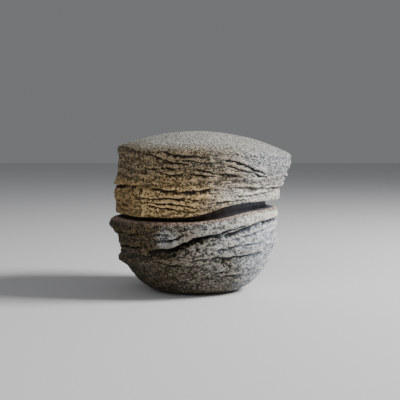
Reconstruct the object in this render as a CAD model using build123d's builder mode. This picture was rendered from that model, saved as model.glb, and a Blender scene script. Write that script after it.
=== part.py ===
"""Hand-carved stoneware bowl for go stones, with its loose lid.

Both pieces are hollowed out of one block of clay that was first cut in two by a wire drawn through it in a
wave. The bowl keeps a collar inside its rim, and the lid drops over that collar and rests on its top.
Millimetres. +Z is up, +X is the side where the wave is high, and the origin is the middle of the foot.
"""

import math
import os

from build123d import *

# ---- driving dimensions ----
bowl_height = 59.0  # foot to the rim on the low side of the wave
lid_height = 67.5  # low side of the rim to the top of the dome
body_radius = 62.0  # mean radius where the wall stands upright
foot_radius = 30.0  # flat that the bowl stands on
belly_height = 45.0  # height at which the round bottom has become the upright wall

# The wave of each edge, in the XZ plane: level, an S of two equal arcs, level again. The lid's edge was
# cut back further, so that its wave rises sooner than the one that the wire left on the bowl.
rim_wave_start = -10.0
rim_wave_end = 62.0
skirt_wave_start = -18.0
skirt_wave_end = 46.0
rim_rise = 8.0  # how much higher the bowl's rim is at the high side
gap_low = 3.0  # open gap between the two edges at the low side
gap_high = 6.0  # and at the high side
wire_margin = 6.0  # clay above the rim that the wire takes off

# Collar and seat
land_width = 6.0  # body_radius to the collar's outside
collar_thickness = 4.5
collar_height = 12.0  # above the rim
collar_taper = 3.0  # degrees, so that the lid centres itself
collar_clearance = 0.8  # around the collar, inside the lid's skirt
seat_clearance = 0.3  # above the collar, under the lid's ledge

# Hollows
floor_thickness = 10.0
floor_radius = 24.0  # flat of the bowl's floor
roof_thickness = 10.0
roof_corner = 12.0  # radius between the lid's wall and its ceiling
lid_hollow_growth = 3.5  # how much wider the lid's hollow is at the top than at the ledge

# Lid
dome_radius = 164.0
dome_shift = 0.0  # the dome's top, along X
flare_start = 24.0  # above the low side of the rim, where the lid starts to flare
flare_height = 24.0
flare_curve = 0.6  # under 1, the flare starts as a ledge
flare_growth = 4.2  # all round, over the flare's height
flare_lean = 6.6  # and towards +X
lid_skirt_swell = 2.3  # the skirt's mean radius over body_radius
lid_lip = 2.6  # the dome's edge stands out a little on the -X side
lid_lip_width = 4.5

# Folds and corners carved in the wall
rim_flare = 8.4  # the bowl's rim stands out on the -X side
rim_flare_width = 6.0
rim_flare_drop = 5.5  # below the rim
fold_height_low = 25.5  # the bowl's fold, on the -X side
fold_height_high = 41.5  # and on the +X side
fold_depth = 4.4
fold_width = 3.8
lid_fold_height = 19.0  # the lid's fold, above the low side of the rim
lid_fold_depth = 1.6
lid_fold_width = 4.0
corner_angle = -128.0  # the upright corner between two carved facets, in degrees from +X
corner_depth = 3.0
corner_width = 13.0
facet_angle = -156.0  # the flat facet beside that corner
facet_depth = 2.6
facet_width = 16.0

# Edges
land_edge = 1.6
collar_root = 2.5
collar_edge = 1.2
skirt_edge = 1.6
dome_edge = 2.0

# How finely the carved outside is drawn
outline_points = 36
bowl_levels = 28
lid_levels = 22

# ---- derived ----
total_height = bowl_height + lid_height
rim_low = bowl_height
rim_high = bowl_height + rim_rise
skirt_low = rim_low + gap_low
skirt_high = rim_high + gap_high
collar_radius = body_radius - land_width
mouth_radius = collar_radius - collar_thickness
collar_lean = math.tan(math.radians(collar_taper))
dome_centre = (dome_shift, 0, total_height - dome_radius)
reach = 2 * body_radius  # beyond everything, sideways
over = total_height + dome_edge + roof_thickness  # above everything


def bump(value, centre, width):
    """A rounded ridge: 1 at centre, fading over width."""
    return math.exp(-(((value - centre) / width) ** 2))


def bump_round(angle, centre, width):
    """The same round the axis, in degrees."""
    return bump((angle - centre + 180) % 360 - 180, 0, width)


def swell(share):
    """How far the round bottom has widened, 0 to 1, at a share of its height."""
    share = min(max(share, 0), 1)
    return (1 - (1 - share) ** 2) ** 0.65


def carving(angle):
    """What the knife left all the way up: a corner, a flat facet and slow unevenness."""
    turn = math.radians(angle)
    return (
        corner_depth * bump_round(angle, corner_angle, corner_width)
        - facet_depth * bump_round(angle, facet_angle, facet_width)
        + 0.9 * math.cos(3 * turn + 0.6)
        + 0.6 * math.cos(5 * turn + 2.1)
    )


def bowl_radius_at(angle, height):
    """Outside of the bowl at an angle from +X, in degrees, and a height."""
    high_side = (1 + math.cos(math.radians(angle))) / 2  # 1 on the +X side, 0 on the -X side
    low_side = 1 - high_side
    upright = swell(height / belly_height)
    fold_height = fold_height_low + (fold_height_high - fold_height_low) * high_side
    flare_height_here = rim_low + rim_rise * high_side - rim_flare_drop
    return (
        foot_radius
        + upright * (body_radius - foot_radius + carving(angle))
        + fold_depth * (0.4 + 0.6 * low_side) * bump(height, fold_height, fold_width)
        + rim_flare * (0.2 + 0.8 * low_side**2) * bump(height, flare_height_here, rim_flare_width)
    )


def lid_radius_at(angle, height):
    """Outside of the lid at an angle from +X, in degrees, and a height."""
    turn = math.radians(angle)
    low_side = (1 - math.cos(turn)) / 2
    flare = max((height - rim_low - flare_start) / flare_height, 0) ** flare_curve
    radius = (
        body_radius
        + lid_skirt_swell
        + carving(angle)
        + flare * (flare_growth + flare_lean * math.cos(turn))
        + lid_fold_depth * bump(height, rim_low + lid_fold_height, lid_fold_width)
    )
    dome_side = radius - dome_shift * math.cos(turn)  # from the dome's own axis
    dome_edge_height = total_height - dome_side**2 / (2 * dome_radius)
    return radius + lid_lip * low_side**2 * bump(height, dome_edge_height, lid_lip_width)


def outline(radius_at, height):
    """The carved outside at one height, as a level face."""
    with BuildSketch(Plane.XY.offset(height)) as ring:
        with BuildLine():
            points = []
            for i in range(outline_points):
                angle = 360 * i / outline_points
                turn = math.radians(angle)
                radius = radius_at(angle, height)
                points.append((radius * math.cos(turn), radius * math.sin(turn)))
            Spline(*points, periodic=True)
        make_face()
    return ring.sketch


def wave_region(start, end, low, high, edge):
    """The region of the XZ plane between a wave, from low at start to high at end, and a level line at edge."""
    middle = ((start + end) / 2, (low + high) / 2)
    with BuildSketch(Plane.XZ) as region:
        with BuildLine():
            Line((-reach, low), (start, low))
            first = TangentArc((start, low), middle, tangent=(1, 0))
            TangentArc(middle, (end, high), tangent=first % 1)
            Line((end, high), (reach, high))
            Polyline((reach, high), (reach, edge), (-reach, edge), (-reach, low))
        make_face()
    return region.sketch


def over_rim(height):
    """The region above the rim's wave, raised by a height."""
    return wave_region(rim_wave_start, rim_wave_end, rim_low + height, rim_high + height, over)


def collar_radius_over(rim, radius, height):
    """Radius of the tapered collar at a height, from its radius at the rim's height."""
    return radius - (height - rim) * collar_lean


def across_the_wave(edges):
    """Drops the straight edges that run level along Y where two spans of the wave meet."""
    return edges.filter_by(Axis.Y, reverse=True)


def at_collar_root(edge):
    """Whether an edge runs where the collar rises from the land."""
    start = edge.start_point()
    near_collar = abs(math.hypot(start.X, start.Y) - collar_radius) < land_width / 2
    return near_collar and rim_low - 1 < edge.center().Z < rim_high + 1


# ---- bowl ----
with BuildPart() as collar:
    collar_foot = belly_height
    collar_top = rim_high + collar_height
    with BuildSketch(Plane.XY.offset(collar_foot)):
        Circle(collar_radius_over(rim_low, collar_radius, collar_foot))
    extrude(amount=collar_top - collar_foot, taper=collar_taper)
    extrude(over_rim(collar_height), amount=reach, both=True, mode=Mode.SUBTRACT)
    collar_brim = rim_low + collar_height - 1
    fillet(across_the_wave(collar.edges().filter_by(lambda edge: edge.center().Z > collar_brim)), collar_edge)

with BuildPart() as bowl:
    block_height = rim_high + wire_margin
    levels = [block_height * (i / (bowl_levels - 1)) ** 1.15 for i in range(bowl_levels)]
    loft([outline(bowl_radius_at, level) for level in levels])
    extrude(over_rim(0), amount=reach, both=True, mode=Mode.SUBTRACT)
    fillet(across_the_wave(bowl.edges().filter_by(lambda edge: edge.center().Z > belly_height)), land_edge)
    add(collar.part)
    fillet(across_the_wave(bowl.edges().filter_by(at_collar_root)), collar_root)
    with BuildSketch(Plane.XZ):
        with BuildLine():
            Line((0, floor_thickness), (floor_radius, floor_thickness))
            steps = 8
            side = [
                (
                    floor_radius + (mouth_radius - floor_radius) * swell(i / steps),
                    floor_thickness + (belly_height - floor_thickness) * i / steps,
                )
                for i in range(steps + 1)
            ]
            Spline(*side, tangents=((1, 0.25), (0, 1)))
            Polyline((mouth_radius, belly_height), (mouth_radius, over), (0, over), (0, floor_thickness))
        make_face()
    revolve(axis=Axis.Z, mode=Mode.SUBTRACT)
bowl.part.label = "bowl"

# ---- lid ----
with BuildPart() as lid_hollow:
    for level in (rim_low, (rim_low + over) / 2, over):
        share = max((level - rim_low - flare_start) / flare_height, 0)
        with BuildSketch(Plane.XY.offset(level)):
            with Locations((flare_lean * share, 0)):
                Circle(mouth_radius + lid_hollow_growth * share)
    loft()
    with Locations(dome_centre):
        Sphere(dome_radius - roof_thickness, mode=Mode.INTERSECT)
    ceiling_edge = lid_hollow.edges().filter_by(lambda edge: edge.is_closed).sort_by(Axis.Z)[-1]
    fillet(ceiling_edge, roof_corner)

with BuildPart() as lid_seat:
    with BuildSketch(Plane.XY.offset(belly_height)):
        Circle(collar_radius_over(rim_low, collar_radius + collar_clearance, belly_height))
    extrude(amount=over - belly_height, taper=collar_taper)
    extrude(over_rim(collar_height + seat_clearance), amount=reach, both=True, mode=Mode.SUBTRACT)

with BuildPart() as lid:
    levels = [belly_height + (over - belly_height) * i / (lid_levels - 1) for i in range(lid_levels)]
    loft([outline(lid_radius_at, level) for level in levels])
    with Locations(dome_centre):
        Sphere(dome_radius, mode=Mode.INTERSECT)
    under_skirt = wave_region(skirt_wave_start, skirt_wave_end, skirt_low, skirt_high, 0)
    extrude(under_skirt, amount=reach, both=True, mode=Mode.SUBTRACT)
    fillet(across_the_wave(lid.edges().filter_by(lambda edge: edge.center().Z < skirt_high + 1)), skirt_edge)
    rim_of_dome = lid.edges().filter_by(lambda edge: edge.is_closed).sort_by(Axis.Z)[-1]
    fillet(rim_of_dome, dome_edge)
    add(lid_seat.part, mode=Mode.SUBTRACT)
    add(lid_hollow.part, mode=Mode.SUBTRACT)
lid.part.label = "lid"

os.makedirs("parts", exist_ok=True)
for piece in (bowl, lid):
    export_step(piece.part, f"parts/{piece.part.label}.step")
    print(piece.part.label, round(piece.part.volume / 1000, 1), "cm3", piece.part.bounding_box().size)
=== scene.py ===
"""The finish of a hand-carved stoneware bowl for go stones, and of its loose lid."""

import math

import bpy
import numpy as np
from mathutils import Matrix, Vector
from mathutils.bvhtree import BVHTree


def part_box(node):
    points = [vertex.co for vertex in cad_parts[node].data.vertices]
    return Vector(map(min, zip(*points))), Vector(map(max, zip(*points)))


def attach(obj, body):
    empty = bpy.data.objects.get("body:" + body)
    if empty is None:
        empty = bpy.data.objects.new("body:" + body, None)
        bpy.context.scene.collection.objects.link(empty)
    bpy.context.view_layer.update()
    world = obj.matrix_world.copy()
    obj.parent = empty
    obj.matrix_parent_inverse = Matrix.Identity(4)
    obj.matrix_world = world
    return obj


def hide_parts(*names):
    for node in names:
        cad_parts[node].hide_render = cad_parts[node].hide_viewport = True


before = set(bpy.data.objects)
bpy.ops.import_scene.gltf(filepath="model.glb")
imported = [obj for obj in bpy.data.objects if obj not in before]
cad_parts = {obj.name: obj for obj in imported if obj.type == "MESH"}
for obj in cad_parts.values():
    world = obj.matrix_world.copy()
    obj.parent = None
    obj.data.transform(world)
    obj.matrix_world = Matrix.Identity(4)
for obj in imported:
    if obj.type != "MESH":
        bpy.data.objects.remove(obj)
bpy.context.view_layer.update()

# ---------------------------------------------------------------------------------------------------------
# BOWL. Coarse stoneware with a lot of sand in it, wire-cut in a wave from one block and torn by hand on the
# outside. The hollow, the land and the collar are carved with a loop tool once the clay has stiffened.
# ---------------------------------------------------------------------------------------------------------
MM = 0.001  # metres. Shapes are worked out in mm, and skin() turns them into metres
COLUMNS = 640  # of points, round the axis
ANGLES = np.arange(COLUMNS) * 360.0 / COLUMNS - 180.0  # degrees from +X; -90 is the front
AWAY = np.stack([np.cos(np.radians(ANGLES)), np.sin(np.radians(ANGLES))], 1)
HIGH_SIDE = (1 + AWAY[:, 0]) / 2  # 1 where the wire's wave is high, 0 opposite


class FiredShape:
    """Reads the plain shape of one CAD piece, in mm, by probing it along a line for each column."""

    FAR_OUT = 120  # outside either piece

    def __init__(self, node):
        self.tree = BVHTree.FromObject(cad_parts[node], bpy.context.evaluated_depsgraph_get())

    def probe(self, starts, directions):
        """The first points met, one for each column."""
        met = []
        for start, direction in zip(starts, directions):
            met.append(self.tree.ray_cast(Vector(start) * MM, Vector(direction))[0] / MM)
        return np.array(met)

    def outside(self, height):
        """Radius of the outside at a height, or at one height for each column."""
        inward = np.column_stack([-AWAY, np.zeros(COLUMNS)])
        return distance_out(self.probe(ring(self.FAR_OUT, height), inward))

    def inside(self, height):
        """Radius of the hollow at a height, or at one height for each column."""
        outward = np.column_stack([AWAY, np.zeros(COLUMNS)])
        return distance_out(self.probe(ring(0, height), outward))

    def level(self, radius, start, up=False):
        """Height of the first surface met from a circle at height start, looking down or up."""
        along = np.tile((0, 0, 1.0 if up else -1.0), (COLUMNS, 1))
        return self.probe(ring(radius, start), along)[:, 2]


def ring(radius, height):
    """A ring of points round the axis. Radius and height may differ from column to column."""
    radius = np.broadcast_to(radius, (COLUMNS,))
    return np.column_stack([AWAY * radius[:, None], np.broadcast_to(height, (COLUMNS,))])


def distance_out(points):
    """How far each point is from the axis."""
    return np.hypot(points[:, 0], points[:, 1])


def rings_between(first, last, count):
    """Rings spread evenly from one to another, without the first."""
    return [first + (last - first) * (k / count) for k in range(1, count + 1)]


def rounded(first, corner, last, count):
    """Rings that turn a corner, without the first."""
    shares = [k / count for k in range(1, count + 1)]
    return [(1 - s) ** 2 * first + 2 * s * (1 - s) * corner + s * s * last for s in shares]


def eased(values, times):
    """Values round the piece, with their corners eased off."""
    for _ in range(times):
        values = (np.roll(values, 1) + 2 * values + np.roll(values, -1)) / 4
    return values


def lumps(points, sizes, seed):
    """Smooth random lumps, about -0.7 to 0.7, at points in mm. sizes are their lengths along X, Y and Z."""
    cells = 24  # each way, after which the lumps repeat
    gradients = np.random.default_rng(seed).normal(size=(cells, cells, cells, 3))
    gradients /= np.linalg.norm(gradients, axis=3, keepdims=True)
    place = points / np.asarray(sizes, float)
    cell = np.floor(place).astype(int)
    inner = place - cell
    ease = inner**3 * (inner * (inner * 6 - 15) + 10)
    total = np.zeros(place.shape[:-1])
    for corner in np.ndindex(2, 2, 2):
        i, j, k = np.moveaxis((cell + corner) % cells, -1, 0)
        weight = np.prod(np.where(np.array(corner) == 1, ease, 1 - ease), axis=-1)
        total += weight * ((inner - corner) * gradients[i, j, k]).sum(-1)
    return total


def creases(points, sizes, seed, crest=0.35):
    """Sharp crests of a height, with round valleys between them, as torn clay has."""
    return crest - np.abs(lumps(points, sizes, seed)) * 2


def bump(value, width):
    """1 at value 0, fading to nothing on both sides."""
    return np.exp(-((value / width) ** 2))


def step(value, width):
    """Goes from 0 to 1 round value 0."""
    return 0.5 + 0.5 * np.tanh(value / width)


class Wall:
    """The torn outside of one piece: rows of points up the wall, pushed out, pulled in and let sag."""

    MM_A_DEGREE = 1.1  # along the wall

    def __init__(self, radius, height):
        self.radius = radius
        self.height = height
        self.push = np.zeros_like(radius)
        self.sag = np.zeros_like(radius)
        self.crack = np.zeros_like(radius)

    def points(self):
        """Where the wall's points lie by now."""
        radius = self.radius + self.push
        return np.stack([radius * AWAY[:, 0], radius * AWAY[:, 1], self.height + self.sag], -1)

    def tear(self, depth, width, lip, scoop, path):
        """A crack along (degrees, mm up) points, with a depth and a width. Below, it opens out by scoop
        times its width. The clay over it hangs out by lip, and sags."""
        # Its line wavers, and its strength comes and goes, and fades to both ends.
        angles, heights = np.array(path, float).T
        along = (ANGLES - angles[0]) % 360
        line = eased(np.interp(along, angles - angles[0], heights), times=8)
        own_lumps = np.full(COLUMNS, depth * 17.0)  # a deeper tear reads its lumps further on
        trail = np.column_stack([along * self.MM_A_DEGREE, line, own_lumps])
        line = line + 1.2 * lumps(trail, (9, 40, 9), seed=4) + 0.7 * lumps(trail, (2.6, 40, 9), seed=5)
        come_and_go = np.clip(1 + 1.7 * lumps(trail, (7, 40, 9), seed=3), 0.05, 1.6)
        share = np.clip(along / (angles[-1] - angles[0]), 0, 1)
        strength = np.sin(np.pi * share) ** 0.6 * come_and_go

        # Its edges crumble. Over it the crack closes in half the way or less.
        near = np.abs(self.height - line) < 9 * width
        crumble = np.zeros_like(self.height)
        crumble[near] = lumps(self.points()[near], (2.4, 2.4, 1.9), seed=6)
        over = self.height + self.sag - line + 0.9 * crumble
        reach = width * (1 + 0.5 * crumble)
        opening = np.where(over < 0, reach * scoop, reach * 0.45)
        groove = np.exp(-((np.abs(over) / opening) ** 1.3))
        fading = np.exp(-np.clip(over - width, 0, None) / (3.5 * width))
        shelf = fading * step(over - 0.5 * width, 0.3 * width)
        self.push += strength * (lip * shelf - depth * groove)
        self.sag -= strength * 0.3 * lip * bump(over - width, 1.2 * width)
        self.crack = np.maximum(self.crack, np.clip(strength, 0, 1) * groove)

    def knife_step(self, angle, low, high, proud, run, slant):
        """An edge up the wall, where a slice was taken off: proud of the clay on its left, and fading over
        run degrees. It starts from an angle at height low, and moves by slant degrees for each mm up."""
        between = step(self.height - low, 1.8) * step(high - self.height, 1.2)
        points = self.points()
        wander = 4 * lumps(points, (14, 14, 9), seed=5) + 2.5 * lumps(points, (5, 5, 4), seed=6)
        past = (ANGLES - angle - slant * (self.height - low) + wander + 180) % 360 - 180
        self.push += proud * between * step(past, 0.7) * np.exp(-np.clip(past, 0, None) / run)

    def grain(self, folds, coarse, sand, lean, seed):
        """What tearing does to sandy clay: folds that lean by so many mm, lumps, and grit."""
        points = self.points()
        flow = points.copy()
        flow[..., 2] += lean
        flow[..., 2] += 5 * lumps(flow, (45, 45, 30), seed) + 1.5 * lumps(flow, (9, 9, 12), seed + 8)
        long_folds = creases(flow, (48, 48, 8.5), seed + 1)
        short_folds = creases(flow, (17, 17, 3.4), seed + 2)
        threads = creases(flow, (8, 8, 1.9), seed + 9, crest=0.3)
        patches = step(lumps(points, (30, 30, 16), seed + 3) + 0.1, 0.12)
        big_lumps = lumps(points, (8, 8, 6), seed + 4)
        small_lumps = lumps(points, (3.2, 3.2, 2.4), seed + 5)
        big_grit = lumps(points, (1.9, 1.9, 1.5), seed + 6)
        fine_grit = lumps(points, (1.3, 1.3, 1.1), seed + 7)
        self.push += folds * (long_folds + (0.2 + 0.6 * patches) * short_folds + 0.3 * threads)
        self.push += coarse * (big_lumps + 0.9 * small_lumps)
        self.push += sand * (big_grit + 0.7 * fine_grit)

    def hollows(self):
        """How deep each point lies under its surroundings: minus on ridges."""
        around = self.push
        for _ in range(20):
            tall = np.pad(around, ((1, 1), (0, 0)), mode="edge")
            around = (tall[:-2] + tall[2:] + np.roll(around, 1, 1) + np.roll(around, -1, 1)) / 4
        ridge, pit = -0.5, 2.6  # further than this makes no difference
        return np.clip(around - self.push, ridge, pit)


def skin(name, node, rings, masks):
    """The closed skin through all rings, each end drawn to a point on the axis, with masks to colour it by.
    Nothing on it stands out of the CAD node's box."""
    i = np.arange(COLUMNS)
    j = np.roll(i, -1)
    count = len(rings)
    quads = [np.stack([i, j, j + COLUMNS, i + COLUMNS], 1) + k * COLUMNS for k in range(count - 1)]
    first_pole = count * COLUMNS
    last_pole = first_pole + 1
    last_ring = first_pole - COLUMNS
    caps = [np.stack([np.full(COLUMNS, first_pole), j, i], 1)]
    caps.append(np.stack([np.full(COLUMNS, last_pole), i + last_ring, j + last_ring], 1))
    points = np.vstack(list(rings) + [rings[0].mean(0), rings[-1].mean(0)]) * MM
    points = np.clip(points, *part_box(node))
    mesh = bpy.data.meshes.new(name)
    mesh.from_pydata(points.tolist(), [], np.vstack(quads).tolist() + np.vstack(caps).tolist())
    mesh.polygons.foreach_set("use_smooth", np.ones(len(mesh.polygons), bool))
    for mask, rows in masks.items():
        full = np.zeros(len(points), np.float32)
        full[:first_pole] = np.concatenate([np.broadcast_to(row, (COLUMNS,)) for row in rows])
        full[first_pole] = full[0]
        full[last_pole] = full[first_pole - 1]
        mesh.attributes.new(mask, "FLOAT", "POINT").data.foreach_set("value", full)
    piece = bpy.data.objects.new(name, mesh)
    bpy.context.scene.collection.objects.link(piece)
    return piece


# What the CAD says of the collar, the land and the hollow.
root_round = 2.5  # radius of the corner where the collar rises from the land
brim_round = 1.3  # of the collar's top edge, outside
mouth_round = 0.8  # and inside
half_collar = 2.2  # half of the collar's wall
shape = FiredShape("bowl")
bowl_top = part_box("bowl")[1].z / MM
over_bowl = bowl_top + 5
collar_radius = shape.outside(bowl_top - 9)  # over the land all the way round
collar_top = shape.level(collar_radius - half_collar, over_bowl)
land_inner = collar_radius + root_round
rim = shape.level(land_inner + 1.5, over_bowl)
brim = shape.outside(collar_top - brim_round)
mouth = shape.inside(rim)
floor = shape.level(0, 40)  # from the open hollow down

# The plain wall, from just over the table to just under the rim.
wall_rows = 96
lowest = 0.05
foot = shape.outside(lowest)
climb = np.linspace(0, 1, wall_rows)[:, None] ** 1.25  # rows crowd towards the foot
levels = lowest + climb * (rim - 2 * lowest)
bowl_wall = Wall(np.stack([shape.outside(row) for row in levels]), levels)

# A slice taken off at the left, and the tears, from the large fold at the front round the sides and back.
bowl_wall.knife_step(angle=-116, low=36, high=60, proud=1.2, run=18, slant=-0.3)
bowl_tears = [
    # depth, width, lip, scoop, path
    (5.0, 2.0, 3.2, 2.4, [(-125, 36.5), (-109, 38.9), (-99, 43.6), (-89, 47.7), (-74, 49.7)]),
    (2.0, 1.0, 1.3, 1.0, [(-91, 47.5), (-84, 48.6), (-73, 50.7), (-63, 53.2), (-50, 56.6)]),
    (
        2.8, 1.3, 1.3, 2.2,
        [(-82, 47.2), (-68, 49.4), (-57, 52.6), (-44, 56.0), (-31, 58.4), (-8, 59.6), (14, 59)],
    ),
    (1.1, 0.8, 0.8, 1.0, [(-121, 28.5), (-116, 29.6), (-110, 27.0), (-98, 26.0)]),
    (1.5, 1.0, 1.0, 1.4, [(-96, 29.6), (-87, 31.2), (-76, 32.3), (-57, 32.6), (-46, 33.3), (-34, 34.8)]),
    (1.4, 0.6, 0.7, 1.0, [(-76, 20.0), (-70, 20.6), (-61, 21.3)]),
    (1.2, 0.6, 1.0, 1.0, [(-66, 18.1), (-58, 17.6), (-50, 17.2)]),
    (1.5, 0.9, 0.4, 1.0, [(-119, 49.6), (-113, 49.9), (-106, 49.2)]),
    (1.2, 0.9, 0.8, 1.0, [(-119, 44.5), (-112, 45.2), (-104, 46.5), (-97, 49.5)]),
    (0.9, 0.7, 0.6, 1.0, [(-62, 45.5), (-52, 47.5), (-40, 50.5), (-22, 53.5)]),
    (1.0, 0.8, 0.7, 1.0, [(-80, 36.8), (-64, 40.2), (-48, 41.6), (-30, 43.5)]),
    (1.6, 1.0, 1.0, 1.0, [(-168, 47), (-155, 49), (-140, 48.5), (-124, 50)]),
    (1.8, 1.0, 1.2, 1.0, [(-178, 38), (-165, 36.5), (-150, 39), (-138, 38), (-125, 40)]),
    (2.6, 1.4, 2.0, 1.6, [(-28, 47), (-12, 50), (5, 52), (22, 50.5), (38, 52), (52, 49)]),
    (1.6, 1.0, 1.1, 1.0, [(-20, 36), (0, 37), (20, 35.5), (44, 33)]),
    (3.2, 1.5, 2.4, 1.7, [(40, 40), (58, 43), (76, 45.5), (95, 44), (112, 46)]),
    (1.7, 1.0, 1.0, 1.0, [(60, 54), (80, 55), (100, 52.5), (124, 51)]),
    (1.6, 0.9, 1.1, 1.0, [(66, 31), (85, 33), (104, 30), (126, 28)]),
    (2.8, 1.4, 2.0, 1.6, [(118, 38), (136, 40), (152, 43), (168, 42), (186, 45)]),
    (1.5, 0.9, 0.9, 1.0, [(130, 50), (150, 52), (172, 50)]),
    (1.2, 0.8, 0.7, 1.0, [(90, 20), (104, 21.5), (122, 19)]),
    (1.2, 0.8, 0.7, 1.0, [(5, 22), (22, 24), (36, 22.5)]),
]
for depth, width, lip, scoop, path in bowl_tears:
    bowl_wall.tear(depth, width, lip, scoop, path)

# The grain comes last. The round bottom is smoother than the wall, and the foot stays flat and round.
bottom_height = 27
foot_height = 7
upper = step(levels - bottom_height, 4)
bowl_wall.grain(folds=0.35 + 0.65 * upper, coarse=1.1, sand=0.5, lean=-13 * HIGH_SIDE, seed=100)
off_foot = np.clip(levels / foot_height, 0, 1) ** 0.7
bowl_wall.push *= off_foot
bowl_wall.sag *= off_foot * np.clip((rim - levels) / 3, 0, 1)
at_rim = bump(rim - levels, 2.2)
bowl_wall.push += 1.2 * at_rim * lumps(bowl_wall.points(), (6, 6, 6), seed=109)

# Rings from the foot's middle out and up the wall, whose first row is the foot's edge.
outer = bowl_wall.points()
edge = distance_out(outer[-1])
rings = rings_between(ring(foot * 0.02, 0), ring(foot, 0), count=6)[:-1]
below_wall = len(rings)
rings += list(outer)

# Over the land and up the collar.
root_top = rim + root_round
brim_low = collar_top - brim_round
brim_in = brim - brim_round
rings += rings_between(ring(edge, rim), ring(land_inner, rim), count=5)
rings += rounded(ring(land_inner, rim), ring(collar_radius, rim), ring(collar_radius, root_top), count=4)
collar_levels = [root_top + (brim_low - root_top) * k / 8 for k in range(1, 9)]
rings += [ring(shape.outside(level), level) for level in collar_levels]
rings += rounded(ring(brim, brim_low), ring(brim, collar_top), ring(brim_in, collar_top), count=4)

# Over its top and down into the hollow, to the floor's middle.
mouth_out = mouth + mouth_round
mouth_low = collar_top - mouth_round
over_floor = floor + 0.3
rings += rings_between(ring(brim_in, collar_top), ring(mouth_out, collar_top), count=2)
rings += rounded(ring(mouth_out, collar_top), ring(mouth, collar_top), ring(mouth, mouth_low), count=3)
hollow_levels = [mouth_low + (over_floor - mouth_low) * (k / 20) ** 0.85 for k in range(1, 21)]
rings += [ring(shape.inside(level), level) for level in hollow_levels]
rings += rings_between(ring(shape.inside(over_floor), floor), ring(0.5, floor), count=4)

# Where the clay is torn, cracked, hollow or cut by the wire, ring by ring. The crack and hollow masks place
# painted shade and painted highlights, and the rim mask a painted highlight on the wire-cut edge.
nowhere = np.zeros(COLUMNS)
everywhere = np.ones(COLUMNS)
under = [nowhere] * below_wall
over = [nowhere] * (len(rings) - below_wall - len(outer))
# The wire-cut edge, where its reddish clay is lightened as a painted highlight.
wire_cut_highlight = [bump(level - rim + 0.2, 1.6) for level in levels] + [everywhere, everywhere * 0.8]
masks = {
    "torn": under + [everywhere] * (len(outer) + 1) + over[1:],
    "crack": under + list(bowl_wall.crack) + over,
    "hollow": under + list(bowl_wall.hollows()) + over,
    "rim": under + wire_cut_highlight + over[2:],
}
bowl_skin = skin("bowl_clay", "bowl", rings, masks)


class Signal:
    """One socket in a material. Sums on it add Math nodes."""

    def __init__(self, finish, socket):
        self.finish = finish
        self.socket = socket

    def maths(self, operation, first, second):
        return self.finish.node("ShaderNodeMath", {"operation": operation}, {0: first, 1: second})

    def __add__(self, other):
        return self.maths("ADD", self, other)

    def __radd__(self, other):
        return self.maths("ADD", other, self)

    def __sub__(self, other):
        return self.maths("SUBTRACT", self, other)

    def __rsub__(self, other):
        return self.maths("SUBTRACT", other, self)

    def __mul__(self, other):
        return self.maths("MULTIPLY", self, other)

    def __rmul__(self, other):
        return self.maths("MULTIPLY", other, self)


class Finish:
    """A material, and the one way to add a node to it."""

    def __init__(self, name):
        self.material = bpy.data.materials.new(name)
        self.material.use_nodes = True
        self.tree = self.material.node_tree
        self.shader = self.tree.nodes["Principled BSDF"]

    def node(self, kind, settings, sockets, output=0):
        """Adds a node, with its settings first, and then the values or the signals that its sockets get."""
        made = self.tree.nodes.new(kind)
        for setting, value in settings.items():
            setattr(made, setting, value)
        for socket, value in sockets.items():
            self.feed(made.inputs[socket], value)
        return Signal(self, made.outputs[output])

    def feed(self, socket, value):
        """Links a signal to a socket, or sets the socket to a value."""
        if isinstance(value, Signal):
            self.tree.links.new(value.socket, socket)
        else:
            socket.default_value = value

    def place(self, stretch=(1, 1, 1)):
        """Where a point lies on the piece, in mm, with each axis shrunk by stretch."""
        spot = self.node("ShaderNodeTexCoord", {}, {}, "Object")
        scale = [1 / MM / s for s in stretch]
        return self.node("ShaderNodeVectorMath", {"operation": "MULTIPLY"}, {0: spot, 1: scale})

    def mottle(self, size, detail, stretch=(1, 1, 1), shift=0.0):
        """Cloudy patches of a size in mm, about -0.3 to 0.3. A shift gives other patches."""
        spot = self.place(stretch)
        spot = self.node("ShaderNodeVectorMath", {"operation": "ADD"}, {0: spot, 1: (shift, shift, shift)})
        sockets = {"Vector": spot, "Scale": 1 / size, "Detail": detail, "Roughness": 0.55}
        return self.node("ShaderNodeTexNoise", {}, sockets, "Fac") - 0.5

    def band(self, value, low, high):
        """0 below low, 1 above high, smooth between."""
        sockets = {"Value": value, "From Min": low, "From Max": high}
        return self.node("ShaderNodeMapRange", {"interpolation_type": "SMOOTHSTEP"}, sockets, "Result")

    def mix(self, share, first, second):
        """One colour, turning into another by a share."""
        first, second = [tone if isinstance(tone, Signal) else (*tone, 1) for tone in (first, second)]
        factor, colour_a, colour_b, result = 0, 6, 7, 2  # by number, because their names repeat
        sockets = {factor: share, colour_a: first, colour_b: second}
        return self.node("ShaderNodeMix", {"data_type": "RGBA"}, sockets, result)

    def mask(self, name):
        """One of the masks that skin() was given."""
        return self.node("ShaderNodeAttribute", {"attribute_name": name}, {}, "Fac")


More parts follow.
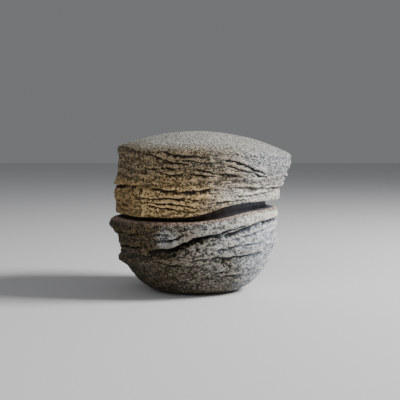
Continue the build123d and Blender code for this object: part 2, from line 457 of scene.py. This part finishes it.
class Stoneware(Finish):
    """Wood-fired clay. It has a tone where it is bare, one on its ridges and one in its pits, and ash and
    soot lie over all three in coats. Each ridge tone is the coat's colour lightened as a painted highlight,
    and each pit tone is painted shade."""

    def __init__(self, name, bare, ridge, pit):
        super().__init__(name)
        self.across = self.node("ShaderNodeSeparateXYZ", {}, {"Vector": self.place()}, "X")
        self.up = self.node("ShaderNodeSeparateXYZ", {}, {"Vector": self.place()}, "Z")
        self.torn = self.mask("torn")
        self.crack = self.mask("crack")
        self.hollow = self.mask("hollow")
        self.clouds = self.mottle(22, 2)
        self.patches = self.mottle(6, 3, shift=50)
        self.grit = self.mottle(1.35, 2.5, (1.2, 1.2, 0.85), shift=90)
        self.pepper = self.mottle(0.8, 1, shift=130)
        self.fire_side = self.band(self.across + self.clouds * 25, 10, 42)  # where most ash fell
        self.tones = {"bare": bare, "ridge": ridge, "pit": pit}

    def coat(self, share, **tones):
        """Lays other tones over the ones that are there, by a share."""
        for where, tone in tones.items():
            self.tones[where] = self.mix(share, self.tones[where], tone)

    def torn_colour(self):
        """Colour of the torn side: painted highlights on its ridges, painted shade in its pits and hollows,
        pale grains of sand, and cracks darkened as painted shade.
        """
        bare, ridge, pit = self.tones["bare"], self.tones["ridge"], self.tones["pit"]
        # Raised places take the ridge tone: a painted highlight.
        raised = self.patches * 0.5 - self.hollow - self.grit * 2.2
        colour = self.mix(self.band(raised, -0.25, 0.55), bare, ridge)
        # Pits, grit and hollows take the pit tone: painted shade.
        pits = self.band(self.grit + self.hollow * 0.11 + self.pepper * 0.5, 0.01, 0.13)
        colour = self.mix(pits * 0.88, colour, pit)
        grains = self.band(self.grit * -0.5 - self.pepper - self.hollow * 0.08, 0.10, 0.17)
        sand = self.mix(0.35, ridge, (0.85, 0.78, 0.62))
        colour = self.mix(grains * 0.6, colour, sand)
        # Cracks and hollows darken towards the pit tone: painted shade.
        depth = self.crack + self.hollow * 0.22 + self.grit * 0.6
        return self.mix(self.band(depth, 0.12, 0.62) * 0.92, colour, pit)

    def carved_colour(self):
        """Colour of the hollow, the land and the collar, out of the ash's way: brown, turning towards the
        high side to a lighter blue that is painted light in the gap.
        """
        brown_patches = self.band(self.patches, -0.12, 0.15)
        brown = self.mix(brown_patches, (0.045, 0.032, 0.025), (0.10, 0.075, 0.058))
        # The blue is painted light, standing in for the faint bluish light that reaches the gap on the high
        # side.
        blue_specks = self.band(self.grit + self.patches * 0.5, -0.1, 0.15)
        blue = self.mix(blue_specks, (0.20, 0.22, 0.27), (0.11, 0.12, 0.15))
        return self.mix(self.band(self.across + self.clouds * 40, 8, 50) * 0.75, brown, blue)

    def done(self, colour):
        """Sets the colour, with the grain standing out as relief, less so where the clay was carved."""
        self.feed(self.shader.inputs["Base Color"], colour)
        self.feed(self.shader.inputs["Roughness"], 0.78 + self.patches * 0.4)
        self.feed(self.shader.inputs["Specular IOR Level"], 0.25)
        relief = self.mottle(0.6, 1, shift=10) * 0.3 - self.grit
        relief = relief * (0.6 + self.torn * 0.4)
        bumps = self.node("ShaderNodeBump", {}, {"Height": relief, "Distance": 0.0016, "Strength": 1.0})
        self.feed(self.shader.inputs["Normal"], bumps)


# Brown clay, sooty on the low side, ashed towards the high one, and frosted a pale blue at its far end.
# There the ash is creamy under the rim, lightened as a painted highlight along the gap, and some of it ran
# over the large fold's left end.
clay = Stoneware(
    "bowl stoneware", bare=(0.062, 0.048, 0.028), ridge=(0.36, 0.325, 0.27), pit=(0.014, 0.011, 0.008)
)
sooty = clay.band(clay.across * -0.03 + clay.clouds - clay.up * 0.012, -0.5, 0.4)
ash_fall = clay.across * 0.017 + clay.clouds * 1.7 + clay.patches * 0.8 + clay.up * 0.011
ashed = clay.band(ash_fall, 0.28, 1.25)
low_down = clay.band(clay.clouds * 12 - clay.up - clay.across * 0.25, -36, -16)
frosted = clay.band(clay.across * 0.02 + clay.clouds * 0.6, 0.55, 1.05)
# Cream ash on the high side under the rim, lightened as a painted highlight along the gap.
creamy_highlight = clay.fire_side * clay.band(clay.up - clay.across * 0.1 + clay.patches * 6, 50, 55)
drip_place = (-21, -57, 47)  # mm
sockets = {0: clay.place(), 1: drip_place}
from_drip = clay.node("ShaderNodeVectorMath", {"operation": "DISTANCE"}, sockets, "Value")
drip = clay.band(clay.patches * 12 - from_drip, -13, -6)
clay.coat(clay.band(clay.patches, -0.15, 0.15), bare=(0.13, 0.112, 0.078))
clay.coat(sooty * 0.8, bare=(0.034, 0.023, 0.009))
clay.coat(sooty, ridge=(0.115, 0.073, 0.025))
clay.coat(ashed, bare=(0.20, 0.215, 0.23), ridge=(0.57, 0.555, 0.51), pit=(0.045, 0.048, 0.055))
clay.coat(low_down * 0.55, bare=(0.040, 0.034, 0.022))
clay.coat(low_down * 0.5, ridge=(0.13, 0.115, 0.082))
clay.coat(frosted, bare=(0.38, 0.42, 0.48), ridge=(0.82, 0.82, 0.79), pit=(0.15, 0.17, 0.205))
clay.coat(creamy_highlight, bare=(0.56, 0.53, 0.46), ridge=(0.90, 0.86, 0.77), pit=(0.20, 0.19, 0.17))
clay.coat(drip * 0.8, bare=(0.17, 0.175, 0.185))
clay.coat(drip * 0.85, ridge=(0.62, 0.615, 0.60))
# The wire-cut edge of the rim: reddish clay, lightened as a painted highlight where it catches the light
# under the lid.
cut_edge_highlight = clay.mix(clay.band(clay.grit, -0.05, 0.12), (0.55, 0.39, 0.30), (0.13, 0.07, 0.05))
torn = clay.mix(clay.mask("rim") * 0.75, clay.torn_colour(), cut_edge_highlight)
clay.done(clay.mix(clay.torn, clay.carved_colour(), torn))

bowl_skin.data.materials.append(clay.material)
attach(bowl_skin, "bowl")
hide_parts("bowl")

# ---------------------------------------------------------------------------------------------------------
# LID. The other half of the block. Its side was torn the same way, its top was scraped into a dome with a
# rib, and its inside was hollowed, with a ledge that rests on the bowl's collar.
# ---------------------------------------------------------------------------------------------------------

# What the CAD says of the skirt, the ledge and the hollow. The dome's edge is where the lid is widest.
on_skirt = 60.0  # a radius that meets the skirt's hem from below
on_ledge = 54.0  # and one that meets the ledge
vault_rise = 14  # the top of the hollow closes in over this height
shape = FiredShape("lid")
lid_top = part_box("lid")[1].z / MM
over_lid = lid_top + 5
skirt = shape.level(on_skirt, 50, up=True)  # from under the lid
seat = shape.inside(skirt + 1)
ledge = shape.level(on_ledge, 66, up=True)  # from inside the skirt
mouth = shape.inside(ledge + 1)
ceiling = shape.level(0, 90, up=True)  # from the open hollow
near_edge = np.linspace(lid_top - 26, lid_top - 6, 60)
widths = np.stack([shape.outside(level) for level in near_edge])
dome_edge = eased(near_edge[np.argmax(widths, axis=0)], times=12) + 0.3

# The plain wall, from the hem to the dome's edge.
wall_rows = 88
hem_level = skirt + 0.1
climb = np.linspace(0, 1, wall_rows)[:, None]
levels = hem_level + climb * (dome_edge - hem_level)
lid_wall = Wall(np.stack([shape.outside(row) for row in levels]), levels)

# A slice taken off at the left, and the tears, those at the front first.
lid_wall.knife_step(angle=-127, low=63, high=84, proud=2.6, run=26, slant=0.1)
lid_tears = [
    # depth, width, lip, scoop, path
    (
        2.4, 0.9, 1.1, 1.0,
        [(-126, 112), (-114, 111.2), (-105, 109.6), (-97, 107.8), (-90, 108), (-83, 106.4)],
    ),
    (2.1, 0.9, 1.0, 1.0, [(-126, 109.5), (-118, 108.6), (-111, 104.8), (-101, 102.5), (-94, 102.0)]),
    (1.9, 0.8, 0.9, 1.0, [(-104, 105.6), (-94, 104.7), (-86, 102.9), (-79, 102.2)]),
    (1.3, 0.8, 0.9, 1.0, [(-125, 98.5), (-115, 98.9), (-103, 98.8), (-97, 97.8)]),
    (1.5, 0.7, 0.8, 1.0, [(-115, 96.8), (-107, 94.4), (-97, 94.5)]),
    (1.9, 0.9, 1.0, 1.0, [(-94, 99.4), (-84, 97.1), (-77, 94.5), (-68, 94.3), (-60, 92.0), (-48, 88.8)]),
    (1.4, 0.7, 0.7, 1.0, [(-94, 95.3), (-84, 93.8), (-77, 92.8)]),
    (2.5, 0.9, 1.1, 1.0, [(-76, 105.8), (-65, 103.9), (-57, 100.7), (-52, 98.8), (-40, 94.0)]),
    (1.7, 0.8, 0.9, 1.0, [(-72, 101.6), (-60, 97.9), (-51, 94.8), (-37, 89.8)]),
    (2.4, 1.5, 1.4, 1.7, [(-206, 84), (-184, 84.5), (-150, 84.6), (-126, 85.2)]),
    (1.6, 1.1, 0.9, 1.6, [(-121, 84.0), (-112, 83.2), (-100, 82.4)]),
    (0.9, 1.3, 0.3, 2.0, [(-106, 80.9), (-96, 81.9), (-86, 82.3), (-76, 84.4)]),
    (1.7, 1.1, 1.2, 1.6, [(-73, 86.4), (-58, 84.6), (-46, 83.5), (-28, 83), (-8, 83.5), (14, 84.5)]),
    (1.7, 1.0, 1.0, 1.2, [(-128, 77.0), (-113, 76.7), (-98, 76.6), (-86, 76)]),
    (1.6, 0.7, 0.9, 1.0, [(-126, 74.1), (-109, 73), (-99, 72.0), (-86, 69.3)]),
    (1.4, 0.7, 0.8, 1.0, [(-124, 71.8), (-114, 70), (-104, 68.8), (-90, 67.0)]),
    (1.0, 0.8, 0.7, 1.0, [(-70, 78.5), (-55, 78), (-40, 79.5), (-22, 81)]),
    (0.9, 0.7, 0.6, 1.0, [(-84, 73), (-70, 74.5), (-52, 74.8)]),
    (1.1, 0.9, 0.6, 1.0, [(-30, 100), (-14, 98.5), (4, 95.5), (16, 94.8)]),
    (1.6, 0.8, 0.9, 1.0, [(-24, 92.5), (-6, 91), (10, 92.2), (30, 90)]),
    (2.0, 0.9, 1.0, 1.0, [(22, 102.5), (36, 101), (48, 99.5), (62, 99)]),
    (2.4, 1.3, 1.5, 1.4, [(20, 86), (44, 84.5), (66, 86), (92, 84.8)]),
    (1.6, 0.8, 0.9, 1.0, [(38, 94), (56, 95.5), (72, 93), (90, 93.8)]),
    (1.5, 0.7, 0.8, 1.0, [(60, 106), (80, 104.5), (98, 105.5)]),
    (2.0, 0.9, 1.0, 1.0, [(74, 100), (92, 98), (112, 98.8), (128, 96)]),
    (1.6, 0.9, 1.0, 1.0, [(88, 78), (110, 76.5), (130, 77.5)]),
    (2.0, 1.0, 1.1, 1.0, [(100, 90), (122, 88.5), (140, 90), (156, 88)]),
    (1.7, 0.8, 0.9, 1.0, [(130, 104), (150, 106), (168, 104.5), (184, 106)]),
    (2.2, 1.2, 1.3, 1.4, [(124, 83), (144, 81), (163, 82)]),
    (1.8, 0.8, 0.9, 1.0, [(150, 97), (170, 99), (190, 97.5)]),
    (1.4, 0.7, 0.8, 1.0, [(160, 73), (180, 72), (200, 73.5)]),
    (1.6, 0.8, 0.9, 1.0, [(148, 93), (160, 92), (176, 93)]),
    (1.6, 0.7, 0.8, 1.0, [(100, 107), (114, 105.5), (130, 107.5)]),
    (1.3, 0.8, 0.8, 1.0, [(30, 76), (52, 77.5), (70, 76)]),
]
for depth, width, lip, scoop, path in lid_tears:
    lid_wall.tear(depth, width, lip, scoop, path)

# The grain. On the high side its folds fan out, up near the dome and down near the hem.
fan_up = 9 * step(levels - 92, 6)
fan_down = 7 * step(82 - levels, 8)
lid_wall.grain(folds=1.15, coarse=0.8, sand=0.42, lean=(fan_up - fan_down) * HIGH_SIDE, seed=200)
off_dome = np.clip((dome_edge - levels) / 4, 0, 1)
lid_wall.push *= 0.25 + 0.75 * off_dome
lid_wall.sag *= off_dome * np.clip((levels - skirt) / 3, 0, 1)

# Rings from the dome's middle out, with the marks of the rib and of the sand that it dragged. Near its edge
# the dome is rougher, and turns down.
outer = lid_wall.points()
edge = distance_out(outer[-1])
turn = edge - 2.5
dome_rings = 26
rings = []
for k in range(1, dome_rings + 1):
    radius = (edge - 0.7) * (k / dome_rings) ** 0.62
    droop = np.clip(radius - turn, 0, None) * 0.4
    scraped = ring(radius, shape.level(np.minimum(radius, turn), over_lid) - droop)
    waves = 0.5 * lumps(scraped, (16, 16, 16), seed=150) + 0.3 * lumps(scraped, (5, 5, 5), seed=151)
    scraped[:, 2] += waves
    rough = 0.15 + 0.5 * step(radius - edge + 9, 4)
    scraped[:, 2] += rough * lumps(scraped, (2.4, 2.4, 2.4), seed=152)
    rings.append(scraped)

# Down the wall. The dome's edge is worn soft at the front and the back, and sharp at the sides.
rings += list(outer[::-1])
worn_from = dome_rings - 8
worn_to = dome_rings + 14
worn = np.array(rings[worn_from:worn_to])
softness = np.clip(1.25 - 1.2 * np.abs(AWAY[:, 0]), 0, 1)[None, :, None]
for _ in range(14):
    middle = (worn[:-2] + worn[2:]) / 2
    worn[1:-1] += 0.5 * softness * (middle - worn[1:-1])
rings[worn_from:worn_to] = list(worn)

# Round the hem, up the skirt's inside, and in under the ledge that rests on the collar.
hem_round = 0.8
under_ledge = ledge - 0.3
seat_top = shape.inside(under_ledge)
rings += rings_between(ring(distance_out(outer[0]), hem_level), ring(seat + hem_round, skirt), count=5)
rings += rings_between(ring(seat, skirt + hem_round), ring(seat_top, under_ledge), count=8)
rings += rings_between(ring(seat_top - 0.3, ledge), ring(mouth, ledge), count=3)

# Up the hollow, which closes in like a vault, to its top.
over_ledge = ledge + 1
vault_foot = ceiling - vault_rise
hollow_levels = [over_ledge + (vault_foot - over_ledge) * k / 10 for k in range(11)]
rings += [ring(shape.inside(level), level) for level in hollow_levels]
vault_rings = 14
vault_reach = shape.inside(vault_foot)
for k in range(1, vault_rings):
    radius = vault_reach * math.cos(math.pi / 2 * k / vault_rings) ** 0.8
    rings.append(ring(radius, shape.level(radius, 95, up=True)))

# Where the clay is torn, cracked, hollow or scraped, ring by ring. The dome turns torn towards its edge.
dome = [nowhere] * dome_rings
under = [nowhere] * (len(rings) - dome_rings - len(outer))
torn_rings = 9
turning_torn = [everywhere * max(0, (k - dome_rings) / torn_rings + 1) for k in range(dome_rings)]
masks = {
    "torn": turning_torn + [everywhere] * len(outer) + under,
    # The crack and hollow masks place painted shade in cracks and hollows, and painted highlights on
    # ridges.
    "crack": dome + list(lid_wall.crack[::-1]) + under,
    "hollow": dome + list(lid_wall.hollows()[::-1]) + under,
    "scraped": [everywhere] * dome_rings + [nowhere] * len(outer) + under,
}
lid_skin = skin("lid_clay", "lid", rings, masks)
lid_skin.data.flip_normals()  # its rings run down the outside, where the bowl's run up

# Brown clay, ochre near the hem and darker at the far left. Towards the high side it is ashed, creamy near
# the hem, lightened as a painted highlight along the gap, and cooler under the dome, a bluish painted
# shade.
clay = Stoneware(
    "lid stoneware", bare=(0.10, 0.07, 0.034), ridge=(0.37, 0.275, 0.155), pit=(0.014, 0.010, 0.006)
)
ochre = clay.band(clay.up * -0.05 + clay.clouds * 2 + clay.patches, -4.95, -4.1)
shaded = clay.band(clay.clouds * 12 - clay.across, 38, 50)
ashed = clay.band(clay.across * 0.02 + clay.clouds * 1.3 + clay.patches * 0.8, -0.2, 1.35)
# Cream ash on the high side near the hem, lightened as a painted highlight along the gap.
creamy_highlight = clay.fire_side * clay.band(clay.patches * 6 - clay.up, -86, -81)
# A cooler, darker bluish tone under the dome on the high side: painted shade under its overhang.
cooler_shade = clay.band(clay.across + clay.clouds * 20, 30, 62) * clay.band(clay.up + clay.patches * 6, 88, 98)
ochre_bare = clay.mix(shaded, (0.215, 0.14, 0.055), (0.15, 0.095, 0.035))
ochre_ridge = clay.mix(shaded, (0.74, 0.51, 0.24), (0.56, 0.36, 0.14))
clay.coat(ochre, bare=ochre_bare, ridge=ochre_ridge)
clay.coat(ashed, bare=(0.31, 0.31, 0.30), ridge=(0.70, 0.655, 0.58), pit=(0.10, 0.10, 0.105))
clay.coat(creamy_highlight, bare=(0.56, 0.53, 0.46), ridge=(0.92, 0.88, 0.79), pit=(0.20, 0.19, 0.17))
clay.coat(cooler_shade, bare=(0.26, 0.28, 0.30), ridge=(0.64, 0.64, 0.61))

# The scraped dome, from brown to pale, with faint streaks, pits dragged open and pale sand.
paler = clay.band(clay.across + clay.clouds * 90, -70, 20)
scraped = clay.mix(paler, (0.17, 0.155, 0.125), (0.37, 0.365, 0.335))
streaks = clay.band(clay.mottle(7, 2, (5, 1, 1), shift=170), -0.05, 0.2)
scraped = clay.mix(streaks * 0.4, scraped, (0.24, 0.245, 0.24))
dimples = clay.band(clay.grit + clay.pepper * 0.8, -0.02, 0.09)
scraped = clay.mix(dimples * 0.8, scraped, (0.085, 0.08, 0.062))
sand = clay.band(clay.grit * -0.4 - clay.pepper, 0.05, 0.12)
scraped = clay.mix(sand * 0.7, scraped, (0.84, 0.82, 0.72))
smooth = clay.mix(clay.mask("scraped"), clay.carved_colour(), scraped)
clay.done(clay.mix(clay.torn, smooth, clay.torn_colour()))

lid_skin.data.materials.append(clay.material)
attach(lid_skin, "lid")
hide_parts("lid")

# ---------------------------------------------------------------------------------------------------------
# FLOOR, LIGHT AND CAMERA. The pieces stand on a plain pale floor with nothing behind them. One soft lamp
# hangs high on the right, a weak one fills in from the left, and the camera looks slightly down from the
# front, through a long lens.
# ---------------------------------------------------------------------------------------------------------
bpy.ops.mesh.primitive_plane_add(size=8)
ground = bpy.context.object
ground.name = "ground"

camera = bpy.data.cameras.new("camera")
camera.lens = 84.4
camera.sensor_width = 36
looking_down = 3.7  # degrees
eye = bpy.data.objects.new("camera", camera)
bpy.context.scene.collection.objects.link(eye)
eye.location = (0.0032, -0.75, 0.12)
eye.rotation_euler = (math.radians(90 - looking_down), 0, 0)
bpy.context.scene.camera = eye


def lamp(name, watts, place, size):
    """A square soft lamp, in metres, turned to the middle of the pieces."""
    light = bpy.data.lights.new(name, "AREA")
    light.energy = watts
    light.size = size
    stand = bpy.data.objects.new(name, light)
    bpy.context.scene.collection.objects.link(stand)
    stand.location = place
    aim = Vector((0, 0, 0.06)) - Vector(place)
    stand.rotation_euler = aim.to_track_quat("-Z", "Y").to_euler()


lamp("key", watts=20, place=(0.9, -0.1, 0.75), size=0.4)
lamp("fill", watts=2, place=(-0.5, -0.9, 0.6), size=0.8)
world = bpy.data.worlds.new("studio")
bpy.context.scene.world = world
world.use_nodes = True
sky = world.node_tree.nodes["Background"]
sky.inputs["Color"].default_value = (0.8, 0.82, 0.85, 1)
sky.inputs["Strength"].default_value = 0.22
